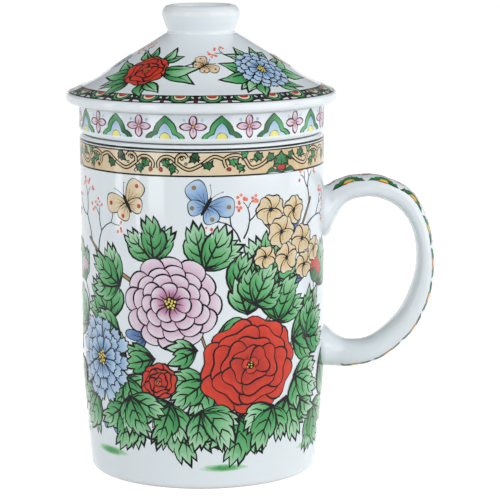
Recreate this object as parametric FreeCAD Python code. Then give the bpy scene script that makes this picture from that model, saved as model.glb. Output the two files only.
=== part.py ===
# Lidded porcelain tea mug with a drop-in strainer and a hollow-knobbed lid.
# Millimetres, +Z up. The origin is the centre of the foot ring, on the surface that the mug stands on.
# The handle points along +X and the front of the mug faces -Y.
# Five solids: mug_body and mug_handle are fired as one mug, infuser hangs in its mouth,
# and lid and lid_knob are fired as one lid that sits in the infuser's collar.

import FreeCAD
import Part

import math
import os

Vector = FreeCAD.Vector

# Mug body, thrown round with a slight draw-in towards the foot
mug_r = 37.3  # outside of the straight upper wall
mug_h = 103.7  # top of the rim
mug_wall = 3.2
rim_round = 1.2
foot_draw = 2.4  # how far the side has come in where it would meet the table
foot_round = 2.0
taper_h = 30.5  # height at which the lines of the straight wall and of the draw-in cross
taper_round = 659.0  # long arc between those two lines
foot_band = 4.4  # width of the foot ring from its outer corner to the recess
foot_recess = 1.5
recess_round = 0.7
floor_t = 4.0
floor_round = 7.0

# Handle, a C-shaped strap
handle_low = 30.7  # underside of the strap above the table
handle_rise = 59.4  # underside to crest
handle_reach = 34.1  # from the mug's wall to the outermost point of the grip
handle_w = 13.5
root_spread = 1.6  # extra width where the strap meets the mug
root_run = 7.0  # length over which the strap widens
strap_power = 2.5  # 2 is an oval section, more is squarer
strap_points = 16  # points round a section

# Fits between the loose pieces
seat_gap = 0.3  # under a piece that rests on another
basket_gap = 0.9  # around the basket in the mug's mouth
flange_gap = 0.6  # around the lid's flange in the collar

# Infuser, a strainer basket under a collar as wide as the mug
collar_h = 8.85
collar_wall = 3.1
collar_low_round = 1.45
collar_top_round = 0.6
ledge_t = 2.8  # shelf between collar and basket, on the mug's rim
basket_depth = 60.0  # from the mug's rim to the basket's underside
basket_draw = 3.2  # how much the basket's radius shrinks on the way down
basket_wall = 2.6
basket_floor = 3.0
basket_round = 5.0
ledge_round = 0.6
hole_r = 1.3
hole_pitch = 7.5  # radial distance between rings of drain holes
hole_rings = 2
holes_per_ring = 6  # the first ring's count, and each further ring gains as many

# Lid, a low cone with a flared brim
brim_overhang = 4.0  # beyond the mug's wall
brim_t = 2.85
brim_top_round = 0.9
brim_low_round = 1.5
flare_w = 9.9  # radial width of the brim's flare, in to the steeper shoulder
flare_rise = 4.5  # above the brim's top edge
flare_round = 25.0
shoulder_w = 6.4  # radial width of the shoulder, in to the cone
shoulder_rise = 9.2
shoulder_round = 60.0
crown_rise = 18.2  # flat crown that the knob stands on
lid_wall = 3.2
flange_depth = 5.2
flange_wall = 2.6
flange_round = 0.8
roof_round = 5.0  # inside corner under the crown

# Knob, an open flared ring
knob_h = 8.1
knob_foot_r = 10.15
knob_waist_r = 11.4  # outside at the waist
knob_waist_h = 3.3
knob_lip_r = 12.7
knob_waist_round = 12.0
knob_lip_round = 1.8
knob_bore_r = 7.6  # hollow at the crown
knob_mouth_r = 8.9  # hollow at the lip
knob_mouth_round = 1.2

# Places worked out from the sizes above
foot_r = mug_r - foot_draw
collar_z = mug_h + seat_gap
ledge_z = collar_z + ledge_t
collar_top_z = collar_z + collar_h
collar_bore_r = mug_r - collar_wall
basket_r = mug_r - mug_wall - basket_gap
basket_z = collar_z - basket_depth
brim_z = collar_top_z + seat_gap
brim_top_z = brim_z + brim_t
crown_z = brim_top_z + crown_rise
flange_r = collar_bore_r - flange_gap
brim_r = mug_r + brim_overhang
flare_r = brim_r - flare_w
shoulder_r = flare_r - shoulder_w


def turned(outline):
    """A solid of revolution about Z. outline is a closed half section of (r, z, corner radius) points."""
    count = len(outline)
    corners = [Vector(r, 0, z) for r, z, _ in outline]
    runs = [corners[(i + 1) % count] - corners[i] for i in range(count)]
    turns = [runs[i - 1].getAngle(runs[i]) for i in range(count)]
    # each corner's arc takes this much off the runs beside it, and less where a run is too short for both ends
    bites = [outline[i][2] * math.tan(turns[i] / 2) for i in range(count)]
    room = []
    for i in range(count):
        wanted = bites[i] + bites[(i + 1) % count]
        room.append(min(1.0, 0.96 * runs[i].Length / wanted) if wanted else 1.0)
    bites = [bites[i] * min(room[i - 1], room[i]) for i in range(count)]
    edges = []
    ends = []
    for i in range(count):
        before = Vector(runs[i - 1]).normalize()
        after = Vector(runs[i]).normalize()
        ends.append((corners[i] - before * bites[i], corners[i] + after * bites[i]))
    for i in range(count):
        start, end = ends[i]
        if bites[i] > 0:
            radius = bites[i] / math.tan(turns[i] / 2)
            inward = (start + end) * 0.5 - corners[i]
            middle = corners[i] + inward.normalize() * radius * (1 / math.cos(turns[i] / 2) - 1)
            edges.append(Part.Arc(start, middle, end).toShape())
        following = ends[(i + 1) % count][0]
        edges.append(Part.LineSegment(end, following).toShape())
    face = Part.Face(Part.Wire(edges))
    return face.revolve(Vector(0, 0, 0), Vector(0, 0, 1), 360)


def side_r(z):
    """Outside radius of the mug on the two straight lines of its side."""
    if z > taper_h:
        return mug_r
    return foot_r + (mug_r - foot_r) * z / taper_h


def mug_outline():
    """The mug's outer shape, foot to rim, as if it were solid."""
    return [
        (0, 0, 0),
        (foot_r, 0, foot_round),
        (mug_r, taper_h, taper_round),
        (mug_r, mug_h, rim_round),
        (0, mug_h, 0),
    ]


def mug_body():
    floor_z = foot_recess + floor_t
    recess_r = foot_r - foot_band
    cavity_r = mug_r - mug_wall
    return turned(
        [
            (0, foot_recess, 0),
            (recess_r, foot_recess, recess_round),
            (recess_r, 0, recess_round),
            (foot_r, 0, foot_round),
            (mug_r, taper_h, taper_round),
            (mug_r, mug_h, rim_round),
            (cavity_r, mug_h, rim_round),
            (cavity_r, taper_h, taper_round),
            (side_r(floor_z) - mug_wall, floor_z, floor_round),
            (0, floor_z, 0),
        ]
    )


# The strap's cross lines, from its outer to its inner face. Each is (out, up, out, up):
# out is a share of handle_reach from the mug's wall, up a share of handle_rise from the underside.
strap_lines = [
    (-0.10, 0.930, -0.10, 0.675),
    (0.025, 0.945, 0.035, 0.690),
    (0.095, 0.968, 0.090, 0.757),
    (0.190, 0.987, 0.170, 0.838),
    (0.305, 0.999, 0.275, 0.876),
    (0.500, 0.995, 0.465, 0.884),
    (0.785, 0.919, 0.670, 0.828),
    (0.942, 0.758, 0.800, 0.713),
    (1.000, 0.560, 0.836, 0.567),
    (0.965, 0.370, 0.800, 0.435),
    (0.805, 0.182, 0.672, 0.278),
    (0.512, 0.040, 0.432, 0.154),
    (0.240, 0.000, 0.235, 0.134),
    (0.110, 0.000, 0.115, 0.162),
    (0.015, 0.003, 0.030, 0.205),
    (-0.10, 0.006, -0.10, 0.232),
]


def strap_section(out_face, in_face):
    """The closed oval of the strap between a point on its outer and a point on its inner face."""
    middle = (out_face + in_face) * 0.5
    half = (out_face - in_face) * 0.5
    near_wall = max(0.0, 1 - (middle.x - mug_r) / root_run)
    half_w = (handle_w + root_spread * near_wall) / 2
    points = []
    for i in range(strap_points):
        angle = 2 * math.pi * i / strap_points
        across = math.copysign(abs(math.sin(angle)) ** (2 / strap_power), math.sin(angle))
        through = math.copysign(abs(math.cos(angle)) ** (2 / strap_power), math.cos(angle))
        points.append(middle + half * through + Vector(0, half_w * across, 0))
    params = [i / strap_points for i in range(strap_points + 1)]
    oval = Part.BSplineCurve()
    oval.interpolate(Points=points, Parameters=params, PeriodicFlag=True)
    return oval


def skinned(ovals, params):
    """A solid through a row of closed ovals that share their knots, with a flat cap at each end."""
    lanes = []
    for lane_poles in zip(*[oval.getPoles() for oval in ovals]):
        lane = Part.BSplineCurve()
        lane.interpolate(Points=list(lane_poles), Parameters=params)
        lanes.append(lane)
    skin = Part.BSplineSurface()
    skin.buildFromPolesMultsKnots(
        [lane.getPoles() for lane in lanes],
        ovals[0].getMultiplicities(),
        lanes[0].getMultiplicities(),
        ovals[0].getKnots(),
        lanes[0].getKnots(),
        True,
        False,
        ovals[0].Degree,
        lanes[0].Degree,
    )
    faces = [skin.toShape()]
    for end in (params[0], params[-1]):
        faces.append(Part.Face(Part.Wire(skin.vIso(end).toShape())))
    shell = Part.Shell(faces)
    shell.sewShape()
    solid = Part.Solid(shell)
    if solid.Volume < 0:
        solid.reverse()
    return solid


def mug_handle():
    ovals = []
    middles = []
    params = [0.0]
    for out_a, up_a, out_b, up_b in strap_lines:
        out_face = Vector(mug_r + out_a * handle_reach, 0, handle_low + up_a * handle_rise)
        in_face = Vector(mug_r + out_b * handle_reach, 0, handle_low + up_b * handle_rise)
        ovals.append(strap_section(out_face, in_face))
        middles.append((out_face + in_face) * 0.5)
    for before, after in zip(middles, middles[1:]):
        params.append(params[-1] + math.sqrt(before.distanceToPoint(after)))
    return skinned(ovals, params).cut(turned(mug_outline()))


def infuser():
    basket_foot_r = basket_r - basket_draw
    shape = turned(
        [
            (0, basket_z, 0),
            (basket_foot_r, basket_z, basket_round),
            (basket_r, collar_z, ledge_round),
            (mug_r, collar_z, collar_low_round),
            (mug_r, collar_top_z, collar_top_round),
            (collar_bore_r, collar_top_z, ledge_round),
            (collar_bore_r, ledge_z, ledge_round),
            (basket_r - basket_wall, ledge_z, ledge_round),
            (basket_foot_r - basket_wall, basket_z + basket_floor, basket_round - basket_wall),
            (0, basket_z + basket_floor, 0),
        ]
    )
    drill_base = Vector(0, 0, basket_z - basket_floor)
    drills = [Part.makeCylinder(hole_r, 3 * basket_floor, drill_base)]
    for ring in range(1, hole_rings + 1):
        for i in range(ring * holes_per_ring):
            angle = 2 * math.pi * i / (ring * holes_per_ring)
            place = Vector(math.cos(angle), math.sin(angle), 0) * ring * hole_pitch
            drills.append(Part.makeCylinder(hole_r, 3 * basket_floor, drill_base + place))
    return shape.cut(drills)


def lid():
    slope = math.atan2(crown_rise - shoulder_rise, shoulder_r - knob_foot_r)
    drop = lid_wall / math.cos(slope)
    flange_bore_r = flange_r - flange_wall
    shoulder_slope = (shoulder_rise - flare_rise) / (flare_r - shoulder_r)
    roof_edge_z = brim_top_z + shoulder_rise - shoulder_slope * (flange_bore_r - shoulder_r) - drop
    return turned(
        [
            (0, crown_z, 0),
            (knob_foot_r, crown_z, 0),
            (shoulder_r, brim_top_z + shoulder_rise, shoulder_round),
            (flare_r, brim_top_z + flare_rise, flare_round),
            (brim_r, brim_top_z, brim_top_round),
            (brim_r, brim_z, brim_low_round),
            (flange_r, brim_z, ledge_round),
            (flange_r, brim_z - flange_depth, flange_round),
            (flange_bore_r, brim_z - flange_depth, flange_round),
            (flange_bore_r, roof_edge_z, flange_round),
            (shoulder_r, brim_top_z + shoulder_rise - drop, shoulder_round),
            (knob_foot_r, crown_z - drop, roof_round),
            (0, crown_z - drop, 0),
        ]
    )


def lid_knob():
    top_z = crown_z + knob_h
    return turned(
        [
            (knob_bore_r, crown_z, 0),
            (knob_foot_r, crown_z, 0),
            (knob_waist_r, crown_z + knob_waist_h, knob_waist_round),
            (knob_lip_r, top_z, knob_lip_round),
            (knob_mouth_r, top_z, knob_mouth_round),
        ]
    )


nodes = {
    "mug_body": mug_body,
    "mug_handle": mug_handle,
    "infuser": infuser,
    "lid": lid,
    "lid_knob": lid_knob,
}

os.makedirs("parts", exist_ok=True)
for name, make in nodes.items():
    solid = make()
    solid.exportStep("parts/" + name + ".step")
    box = solid.BoundBox
    print(name, len(solid.Solids), "solid", solid.isValid(), round(solid.Volume), "mm3")
    print("   x", round(box.XMin, 2), round(box.XMax, 2), "y", round(box.YMin, 2), round(box.YMax, 2))
    print("   z", round(box.ZMin, 2), round(box.ZMax, 2))
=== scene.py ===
import cmath
import math
import random
import bmesh
import bpy
from mathutils import Matrix, Vector
from mathutils.geometry import delaunay_2d_cdt


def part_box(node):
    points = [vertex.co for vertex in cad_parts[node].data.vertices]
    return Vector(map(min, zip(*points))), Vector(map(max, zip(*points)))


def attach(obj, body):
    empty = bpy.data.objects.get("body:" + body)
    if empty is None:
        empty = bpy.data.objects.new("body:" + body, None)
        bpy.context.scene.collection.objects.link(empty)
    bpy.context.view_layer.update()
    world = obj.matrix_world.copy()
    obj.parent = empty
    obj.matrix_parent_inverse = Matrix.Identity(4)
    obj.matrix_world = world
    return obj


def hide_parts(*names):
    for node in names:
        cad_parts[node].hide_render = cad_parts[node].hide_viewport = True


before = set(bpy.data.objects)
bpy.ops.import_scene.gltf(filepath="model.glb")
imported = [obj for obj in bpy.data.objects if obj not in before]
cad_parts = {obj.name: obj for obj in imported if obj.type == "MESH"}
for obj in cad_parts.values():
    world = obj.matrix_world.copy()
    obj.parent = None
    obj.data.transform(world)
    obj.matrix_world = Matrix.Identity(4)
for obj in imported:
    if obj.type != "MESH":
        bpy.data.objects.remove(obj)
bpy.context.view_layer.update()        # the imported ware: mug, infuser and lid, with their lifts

mm = 0.001               # every shape below is drawn in millimetres and made in metres
wheel = {"steps": 256, "stepDegrees": 9, "leastSteps": 6, "tight": 3, "share": 0.49, "join": 1e-4,
         "least": 1e-6}


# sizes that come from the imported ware, in millimetres
def reach(node):
    return [[v / mm for v in corner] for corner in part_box(node)]


mugR, mugTop = reach("mug_body")[1][1:]
basketLow, collarTop = (corner[2] for corner in reach("infuser"))
flangeLow = reach("lid")[0][2]
brimR, crownZ = reach("lid")[1][1:]
lipR, knobTop = reach("lid_knob")[1][1:]
strapLow = reach("mug_handle")[0][2]
strapOut, _, strapHigh = reach("mug_handle")[1]
print("sizes read from the frame:", round(mugR, 2), round(mugTop, 2), round(knobTop, 2))


def placed(name, data):
    piece = bpy.data.objects.new(name, data)
    bpy.context.collection.objects.link(piece)
    return piece


def linked(mesh, name, body, nodes=()):
    piece = placed(name, mesh)
    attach(piece, body)
    if nodes:
        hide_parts(*nodes)
    return piece


def meshOf(bm, name, scale=1.0):
    bmesh.ops.scale(bm, verts=bm.verts[:], vec=(scale, scale, scale))
    mesh = bpy.data.meshes.new(name)
    bm.to_mesh(mesh)
    bm.free()
    return mesh


def ring(items):
    # each item with the one after it, the last with the first
    return zip(items, items[1:] + items[:1])


# the camera at the photograph's angle
photoCamera = {"place": (14.578, -719.73, 186.64), "down": 0.165, "roll": -0.004,
               "focalPixels": 2366.04, "photoPixels": 500, "sensor": 36.0, "nearest": 0.01}


def addCamera():
    data = bpy.data.cameras.new("photoCamera")
    data.sensor_width = photoCamera["sensor"]
    data.lens = photoCamera["sensor"] * photoCamera["focalPixels"] / photoCamera["photoPixels"]
    data.clip_start = photoCamera["nearest"]
    camera = placed("photoCamera", data)
    tilt = Matrix.Rotation(math.pi / 2 - photoCamera["down"], 4, "X")
    roll = Matrix.Rotation(photoCamera["roll"], 4, "Z")
    camera.matrix_world = Matrix.Translation(Vector(photoCamera["place"]) * mm) @ tilt @ roll
    bpy.context.scene.camera = camera


addCamera()
print("camera set")


# outlines for the wheel: corners (radius, height, rounding) become a path with true arcs
def rounded(corners):
    path = []
    triples = zip(corners[-1:] + corners, corners, corners[1:] + corners[:1])
    for (r0, z0, _), (r, z, fillet), (r2, z2, _) in triples:
        here = Vector((r, z))
        if fillet == 0 or r == 0:
            path.append((here, 0.0))
            continue
        toLast = Vector((r0, z0)) - here
        toNext = Vector((r2, z2)) - here
        turn = math.pi - toLast.angle(toNext)
        run = min(fillet * math.tan(turn / 2), wheel["share"] * toLast.length, wheel["share"] * toNext.length)
        start = here + toLast.normalized() * run
        end = here + toNext.normalized() * run
        steps = max(wheel["leastSteps"], math.ceil(turn / math.radians(wheel["stepDegrees"])))
        for k in range(steps + 1):
            t = k / steps
            parts = ((1 - t) ** 2, 2 * t * (1 - t) * math.cos(turn / 2), t * t)
            spot = (start * parts[0] + here * parts[1] + end * parts[2]) / sum(parts)
            edge = 4 * t * (1 - t) if fillet < wheel["tight"] else 0.0     # 1 in the middle of a tight edge
            path.append((spot, edge))
    return path


def lathed(bm, steps):
    bmesh.ops.spin(bm, geom=bm.verts[:] + bm.edges[:], cent=(0, 0, 0), axis=(0, 0, 1),
                   angle=2 * math.pi, steps=steps, use_merge=True)
    bmesh.ops.remove_doubles(bm, verts=bm.verts[:], dist=wheel["join"])
    bmesh.ops.recalc_face_normals(bm, faces=bm.faces[:])


def thrown(name, corners, body, nodes=()):
    # spins an outline that runs counter-clockwise, seen with the radius to the right
    path = rounded(corners)
    bm = bmesh.new()
    edgeMark = bm.verts.layers.float.new("edge")
    lean = bm.verts.layers.float.new("lean")
    spots = []
    for (before, _), (spot, edge), (after, _) in zip(path[-1:] + path, path, path[1:] + path[:1]):
        vert = bm.verts.new((spot.x, 0, spot.y))
        vert[edgeMark] = edge
        along = after - before
        vert[lean] = math.atan2(-along.x, along.y)            # which way the surface faces
        spots.append(vert)
    onAxis = [v for v in spots if abs(v.co.x) < wheel["least"]]
    for a, b in ring(spots):
        if a not in onAxis or b not in onAxis:
            bm.edges.new((a, b))
    for vert in onAxis:
        vert[lean] = math.copysign(math.pi / 2, vert[lean])
    lathed(bm, wheel["steps"])
    normals = []
    for vert in bm.verts:
        flat = Vector((vert.co.x, vert.co.y, 0))
        flat = flat.normalized() if flat.length > wheel["join"] else Vector()
        normals.append(flat * math.cos(vert[lean]) + Vector((0, 0, math.sin(vert[lean]))))
    for face in bm.faces:
        face.smooth = True
    mesh = meshOf(bm, name, mm)
    mesh.normals_split_custom_set_from_vertices(normals)
    return linked(mesh, name, body, nodes)


# the mug: wall, foot ring and cavity
mug = {"wall": 3.2, "rim": 1.2, "footDraw": 2.4, "footRound": 2.0, "taperTop": 30.5, "taperRound": 659,
       "footBand": 4.4, "recess": 1.5, "recessRound": 0.7, "floor": 4.0, "floorRound": 7.0}


def makeMug():
    footR = mugR - mug["footDraw"]
    band = footR - mug["footBand"]
    bore = mugR - mug["wall"]
    base = mug["recess"] + mug["floor"]
    low = footR + mug["footDraw"] * base / mug["taperTop"] - mug["wall"]
    corners = [(0, mug["recess"], 0), (band, mug["recess"], mug["recessRound"]),
               (band, 0, mug["recessRound"]), (footR, 0, mug["footRound"]),
               (mugR, mug["taperTop"], mug["taperRound"]), (mugR, mugTop, mug["rim"]),
               (bore, mugTop, mug["rim"]), (bore, mug["taperTop"], mug["taperRound"]),
               (low, base, mug["floorRound"]), (0, base, 0)]
    return thrown("mugShell", corners, "mug", ["mug_body"])


mugShell = makeMug()
print("mug thrown")


# the handle: stations from the upper root round to the lower one, as shares of its reach and rise
strap = {"width": 13.5, "power": 2.5, "round": 36, "between": 5, "flare": 2.3, "flareRun": 6.0, "sink": 2.6,
         "printRoom": 0.1,
         "outer": [(-0.10, 0.930), (0.025, 0.945), (0.095, 0.968), (0.190, 0.987), (0.305, 0.999),
                   (0.500, 0.995), (0.785, 0.919), (0.942, 0.758), (1.000, 0.560), (0.965, 0.370),
                   (0.805, 0.182), (0.512, 0.040), (0.240, 0.000), (0.110, 0.000), (0.015, 0.003),
                   (-0.10, 0.006)],
         "inner": [(-0.10, 0.675), (0.035, 0.690), (0.090, 0.757), (0.170, 0.838), (0.275, 0.876),
                   (0.465, 0.884), (0.670, 0.828), (0.800, 0.713), (0.836, 0.567), (0.800, 0.435),
                   (0.672, 0.278), (0.432, 0.154), (0.235, 0.134), (0.115, 0.162), (0.030, 0.205),
                   (-0.10, 0.232)]}


def through(points, between):
    # a smooth line through the points, with evenly spaced steps between each two
    full = [points[0] * 2 - points[1]] + list(points) + [points[-1] * 2 - points[-2]]
    line = []
    for a, b, c, d in zip(full, full[1:], full[2:], full[3:]):
        for k in range(between):
            t = k / between
            line.append((b * 2 + (c - a) * t + (a * 2 - b * 5 + c * 4 - d) * t * t
                         + (b * 3 - a - c * 3 + d) * t ** 3) / 2)
    return line + [points[-1]]


def strapLine(side):
    out = strapOut - strap["printRoom"] - mugR
    rise = strapHigh - strapLow
    return through([Vector((mugR + a * out, strapLow + b * rise)) for a, b in strap[side]], strap["between"])


def strapWidth(x):
    near = min(1.0, max(0.0, 1 - (x - mugR) / strap["flareRun"]))
    return strap["width"] + 2 * strap["flare"] * near ** 2


def squared(share):
    return math.copysign(abs(share) ** (2 / strap["power"]), share)


def makeHandle():
    bm = bmesh.new()
    rings = []
    for outer, inner in zip(strapLine("outer"), strapLine("inner")):
        middle = (outer + inner) / 2
        side = strapWidth(middle.x) / 2
        verts = []
        for k in range(strap["round"]):
            turn = 2 * math.pi * (k + 0.5) / strap["round"]
            spot = middle + (outer - inner) / 2 * squared(math.cos(turn))
            x = max(spot.x, mugR - strap["sink"])
            verts.append(bm.verts.new((x, side * squared(math.sin(turn)), spot.y)))
        rings.append([bm.edges.new(pair) for pair in ring(verts)])
    for edges, after in zip(rings, rings[1:]):
        bmesh.ops.bridge_loops(bm, edges=edges + after)
    for edges in (rings[0], rings[-1]):
        bmesh.ops.edgeloop_fill(bm, edges=edges)
    bmesh.ops.recalc_face_normals(bm, faces=bm.faces[:])
    for face in bm.faces:
        face.smooth = True
    return linked(meshOf(bm, "mugHandle", mm), "mugHandle", "mug", ["mug_handle"])


mugHandle = makeHandle()
print("handle drawn out")


# the infuser: basket, seat, collar and its drilled floor
infuser = {"collarRise": 8.85, "collarWall": 3.1, "collarLow": 1.45, "collarTopRound": 0.6, "ledge": 2.8,
           "basketGap": 0.9, "draw": 3.2, "wall": 2.6, "floor": 3.0, "round": 5.0, "ledgeRound": 0.6,
           "holeR": 1.3, "holeSides": 20, "pitch": 7.5, "rings": 2, "perRing": 6}


def makeInfuser():
    collarLow = collarTop - infuser["collarRise"]
    ledgeTop = collarLow + infuser["ledge"]
    collarBore = mugR - infuser["collarWall"]
    basketR = mugR - mug["wall"] - infuser["basketGap"]
    tipR = basketR - infuser["draw"]
    inTop = basketR - infuser["wall"]
    base = basketLow + infuser["floor"]
    corners = [(0, basketLow, 0), (tipR, basketLow, infuser["round"]),
               (basketR, collarLow, infuser["ledgeRound"]), (mugR, collarLow, infuser["collarLow"]),
               (mugR, collarTop, infuser["collarTopRound"]),
               (collarBore, collarTop, infuser["collarTopRound"]),
               (collarBore, ledgeTop, infuser["ledgeRound"]), (inTop, ledgeTop, infuser["ledgeRound"]),
               (tipR - infuser["wall"], base, infuser["round"] - infuser["wall"]), (0, base, 0)]
    return drilled(thrown("infuserBasket", corners, "infuser", ["infuser"]))


def drilled(basket):
    bm = bmesh.new()
    places = [0j]
    for row in range(1, infuser["rings"] + 1):
        count = row * infuser["perRing"]
        places += [cmath.rect(row * infuser["pitch"], 2 * math.pi * k / count) for k in range(count)]
    for p in places:
        at = Matrix.Translation((p.real, p.imag, basketLow + infuser["floor"] / 2))
        bmesh.ops.create_cone(bm, cap_ends=True, segments=infuser["holeSides"], radius1=infuser["holeR"],
                              radius2=infuser["holeR"], depth=infuser["floor"] * 3, matrix=at)
    drills = placed("drills", meshOf(bm, "drills", mm))
    cut = basket.modifiers.new("drilled", "BOOLEAN")
    cut.operation = "DIFFERENCE"
    cut.solver = "EXACT"
    cut.object = drills
    bpy.context.view_layer.update()
    cutMesh = bpy.data.meshes.new_from_object(basket.evaluated_get(bpy.context.evaluated_depsgraph_get()))
    basket.modifiers.clear()
    basket.data = cutMesh
    bpy.data.objects.remove(drills)
    return basket


infuserBasket = makeInfuser()
print("infuser thrown and drilled")


# the lid: brim, flare, shoulder and seat flange
lid = {"brimRise": 2.85, "brimLow": 1.5, "brimTop": 0.9, "flareRun": 9.9, "flareRise": 4.5, "flareRound": 25,
       "shoulderRun": 6.4, "shoulderRise": 9.2, "shoulderRound": 60, "wall": 3.2, "flangeDepth": 5.2,
       "flangeWall": 2.6, "flangeRound": 0.8, "flangeGap": 0.6, "edge": 0.6, "roofRound": 5.0,
       "brimSlack": 0.05}
knob = {"foot": 10.15, "footRise": 0.4, "footFillet": 0.9, "footSink": 0.9, "waist": 11.4, "waistRise": 3.3,
        "waistRound": 12, "lipRound": 2.6, "lipFall": 2.0, "lipIn": 1.5, "bore": 7.6, "boreRise": 2.0,
        "boreRound": 2.0, "mouth": 8.9, "mouthRound": 1.2}


def lidCorners():
    brimLowZ = flangeLow + lid["flangeDepth"]
    brimTopZ = brimLowZ + lid["brimRise"]
    flareR = brimR - lid["flareRun"]
    flareZ = brimTopZ + lid["flareRise"]
    shoulderR = flareR - lid["shoulderRun"]
    shoulderZ = brimTopZ + lid["shoulderRise"]
    flangeR = mugR - infuser["collarWall"] - lid["flangeGap"]
    bore = flangeR - lid["flangeWall"]
    slope = math.atan2(crownZ - shoulderZ, shoulderR - knob["foot"])
    drop = lid["wall"] / math.cos(slope)
    share = (bore - shoulderR) / (flareR - shoulderR)
    roofEdge = shoulderZ + (flareZ - shoulderZ) * share - drop
    return [(0, crownZ - drop, 0), (knob["foot"], crownZ - drop, lid["roofRound"]),
            (shoulderR, shoulderZ - drop, lid["shoulderRound"]), (bore, roofEdge, lid["flangeRound"]),
            (bore, flangeLow, lid["flangeRound"]), (flangeR, flangeLow, lid["flangeRound"]),
            (flangeR, brimLowZ, lid["edge"]), (brimR, brimLowZ, lid["brimLow"]),
            (brimR, brimTopZ, lid["brimTop"]), (flareR, flareZ, lid["flareRound"]),
            (shoulderR, shoulderZ, lid["shoulderRound"]), (knob["foot"], crownZ, 0), (0, crownZ, 0)]


def knobCorners():
    sunk = crownZ - knob["footFillet"] * knob["footSink"]
    return [(knob["bore"], sunk, 0), (knob["foot"] + knob["footFillet"], sunk, 0),
            (knob["foot"], crownZ + knob["footRise"], knob["footFillet"]),
            (knob["waist"], crownZ + knob["waistRise"], knob["waistRound"]),
            (lipR, knobTop - knob["lipFall"], knob["lipRound"]),
            (lipR - knob["lipIn"], knobTop, knob["lipRound"]), (knob["mouth"], knobTop, knob["mouthRound"]),
            (knob["bore"], crownZ + knob["boreRise"], knob["boreRound"])]


lidShell = thrown("lidShell", lidCorners(), "lid", ["lid"])
lidKnob = thrown("lidKnob", knobCorners(), "lid", ["lid_knob"])
print("lid and knob thrown")


# flat transfer sheets: shapes are laid one over another in millimetres, then wrapped on the ware
# every point on a sheet is a complex number, x to the right and y up
random.seed(11)
sheetRules = {"grid": 1.5, "jitter": 0.1, "raised": 0.045, "sunk": 0.05, "line": 0.55, "least": 1e-6,
              "weld": 1e-5, "swell": (0.95, 0.3), "sharpest": 0.9}


def straight(p):
    return p


def newSheet(name, outline, wrap, grid=sheetRules["grid"]):
    sheet = {"name": name, "points": [], "faces": [], "laid": [], "bend": straight, "wrap": wrap,
             "grid": grid}
    lay(sheet, outline, None)
    return sheet


def twiceArea(points):
    return sum((a.conjugate() * b).imag for a, b in ring(points))


def lay(sheet, outline, ink, tone=0.5):
    points = [sheet["bend"](p) for p in outline]
    if twiceArea(points) < 0:
        points.reverse()
    first = len(sheet["points"])
    sheet["points"] += [Vector((p.real, p.imag)) for p in points]
    sheet["faces"].append(list(range(first, first + len(points))))
    across = [p.real for p in points]
    up = [p.imag for p in points]
    sheet["laid"].append((ink, tone, (min(across), max(across), min(up), max(up))))


def fade(sheet, start, end, deep, light):
    # a tone that runs from deep at the start to light at the end
    start, end = sheet["bend"](start), sheet["bend"](end)
    span = end - start

    def toneAt(p):
        share = ((p - start) * span.conjugate()).real / abs(span) ** 2
        return deep + (light - deep) * min(1.0, max(0.0, share))
    return toneAt


def unit(degrees):
    return cmath.rect(1, math.radians(degrees))


def heading(span):
    return span / max(abs(span), sheetRules["least"])


def grown(points, amount):
    # the outline pushed outwards by a brush line that swells and thins
    if twiceArea(points) < 0:
        points = points[::-1]
    beat = random.uniform(0, 2 * math.pi)
    usual, swing = sheetRules["swell"]
    out = []
    for k, (a, b, c) in enumerate(zip(points[-1:] + points[:-1], points, points[1:] + points[:1])):
        side = heading(b - a) + heading(c - b)
        swell = usual + swing * math.sin(beat + 4 * math.pi * k / len(points))
        out.append(b - 1j * heading(side) * amount * swell * 2 / max(abs(side), sheetRules["sharpest"]))
    return out


def outlined(sheet, points, ink, tone=0.5, line=sheetRules["line"], edgeInk="black", edgeTone=0.5):
    lay(sheet, grown(points, line), edgeInk, edgeTone)
    lay(sheet, points, ink, tone)


def stroke(sheet, path, wide, narrow, ink="black", tone=0.5, between=5):
    line = through(path, between)
    count = len(line) - 1
    sides = []
    for k, p in enumerate(line):
        half = (wide + (narrow - wide) * k / count) / 2
        off = 1j * heading(line[min(k + 1, count)] - line[max(k - 1, 0)]) * half
        sides.append((p + off, p - off))
    for (a, b), (c, d) in zip(sides, sides[1:]):
        lay(sheet, [a, b, d, c], ink, tone)


def oval(at, wide, tall, sides):
    turns = [2 * math.pi * k / sides for k in range(sides)]
    return [at + complex(wide * math.cos(turn), tall * math.sin(turn)) for turn in turns]


def moon(at, wide, tall, steps=12):
    turns = [math.pi * k / steps for k in range(steps + 1)]
    return [at + complex(wide * math.cos(turn), tall * math.sin(turn)) for turn in turns]


def box(left, right, low, high):
    return [complex(left, low), complex(right, low), complex(right, high), complex(left, high)]


def dot(sheet, at, radius, ink, tone=0.5, sides=10, tall=1.0):
    lay(sheet, oval(at, radius, radius * tall, sides), ink, tone)


def petal(at, turn, length, width, skew=0.7, sharp=1.0, steps=9, dent=0.0):
    # out from its base along the turn; dent notches the tip
    side = []
    for k in range(steps + 1):
        t = k / steps
        out = length * ((1 - math.cos(math.pi * t)) / 2) ** skew
        pull = dent * length * max(0.0, (t - 0.8) / 0.2) ** 2
        side.append(complex(out - pull, width / 2 * math.sin(math.pi * t) ** sharp))
    return [at + turn * p for p in side + [p.conjugate() for p in side[-2:0:-1]]]


def vein(sheet, start, end, width, bow=0.12, ink="black", tone=0.5):
    # one tapered line that bows to its left
    middle = (start + end) / 2 + 1j * (end - start) * bow
    side = 1j * heading(end - start) * width / 2
    lay(sheet, [start - side, middle - side * 0.8, end, middle + side * 0.8, start + side], ink, tone)


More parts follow.
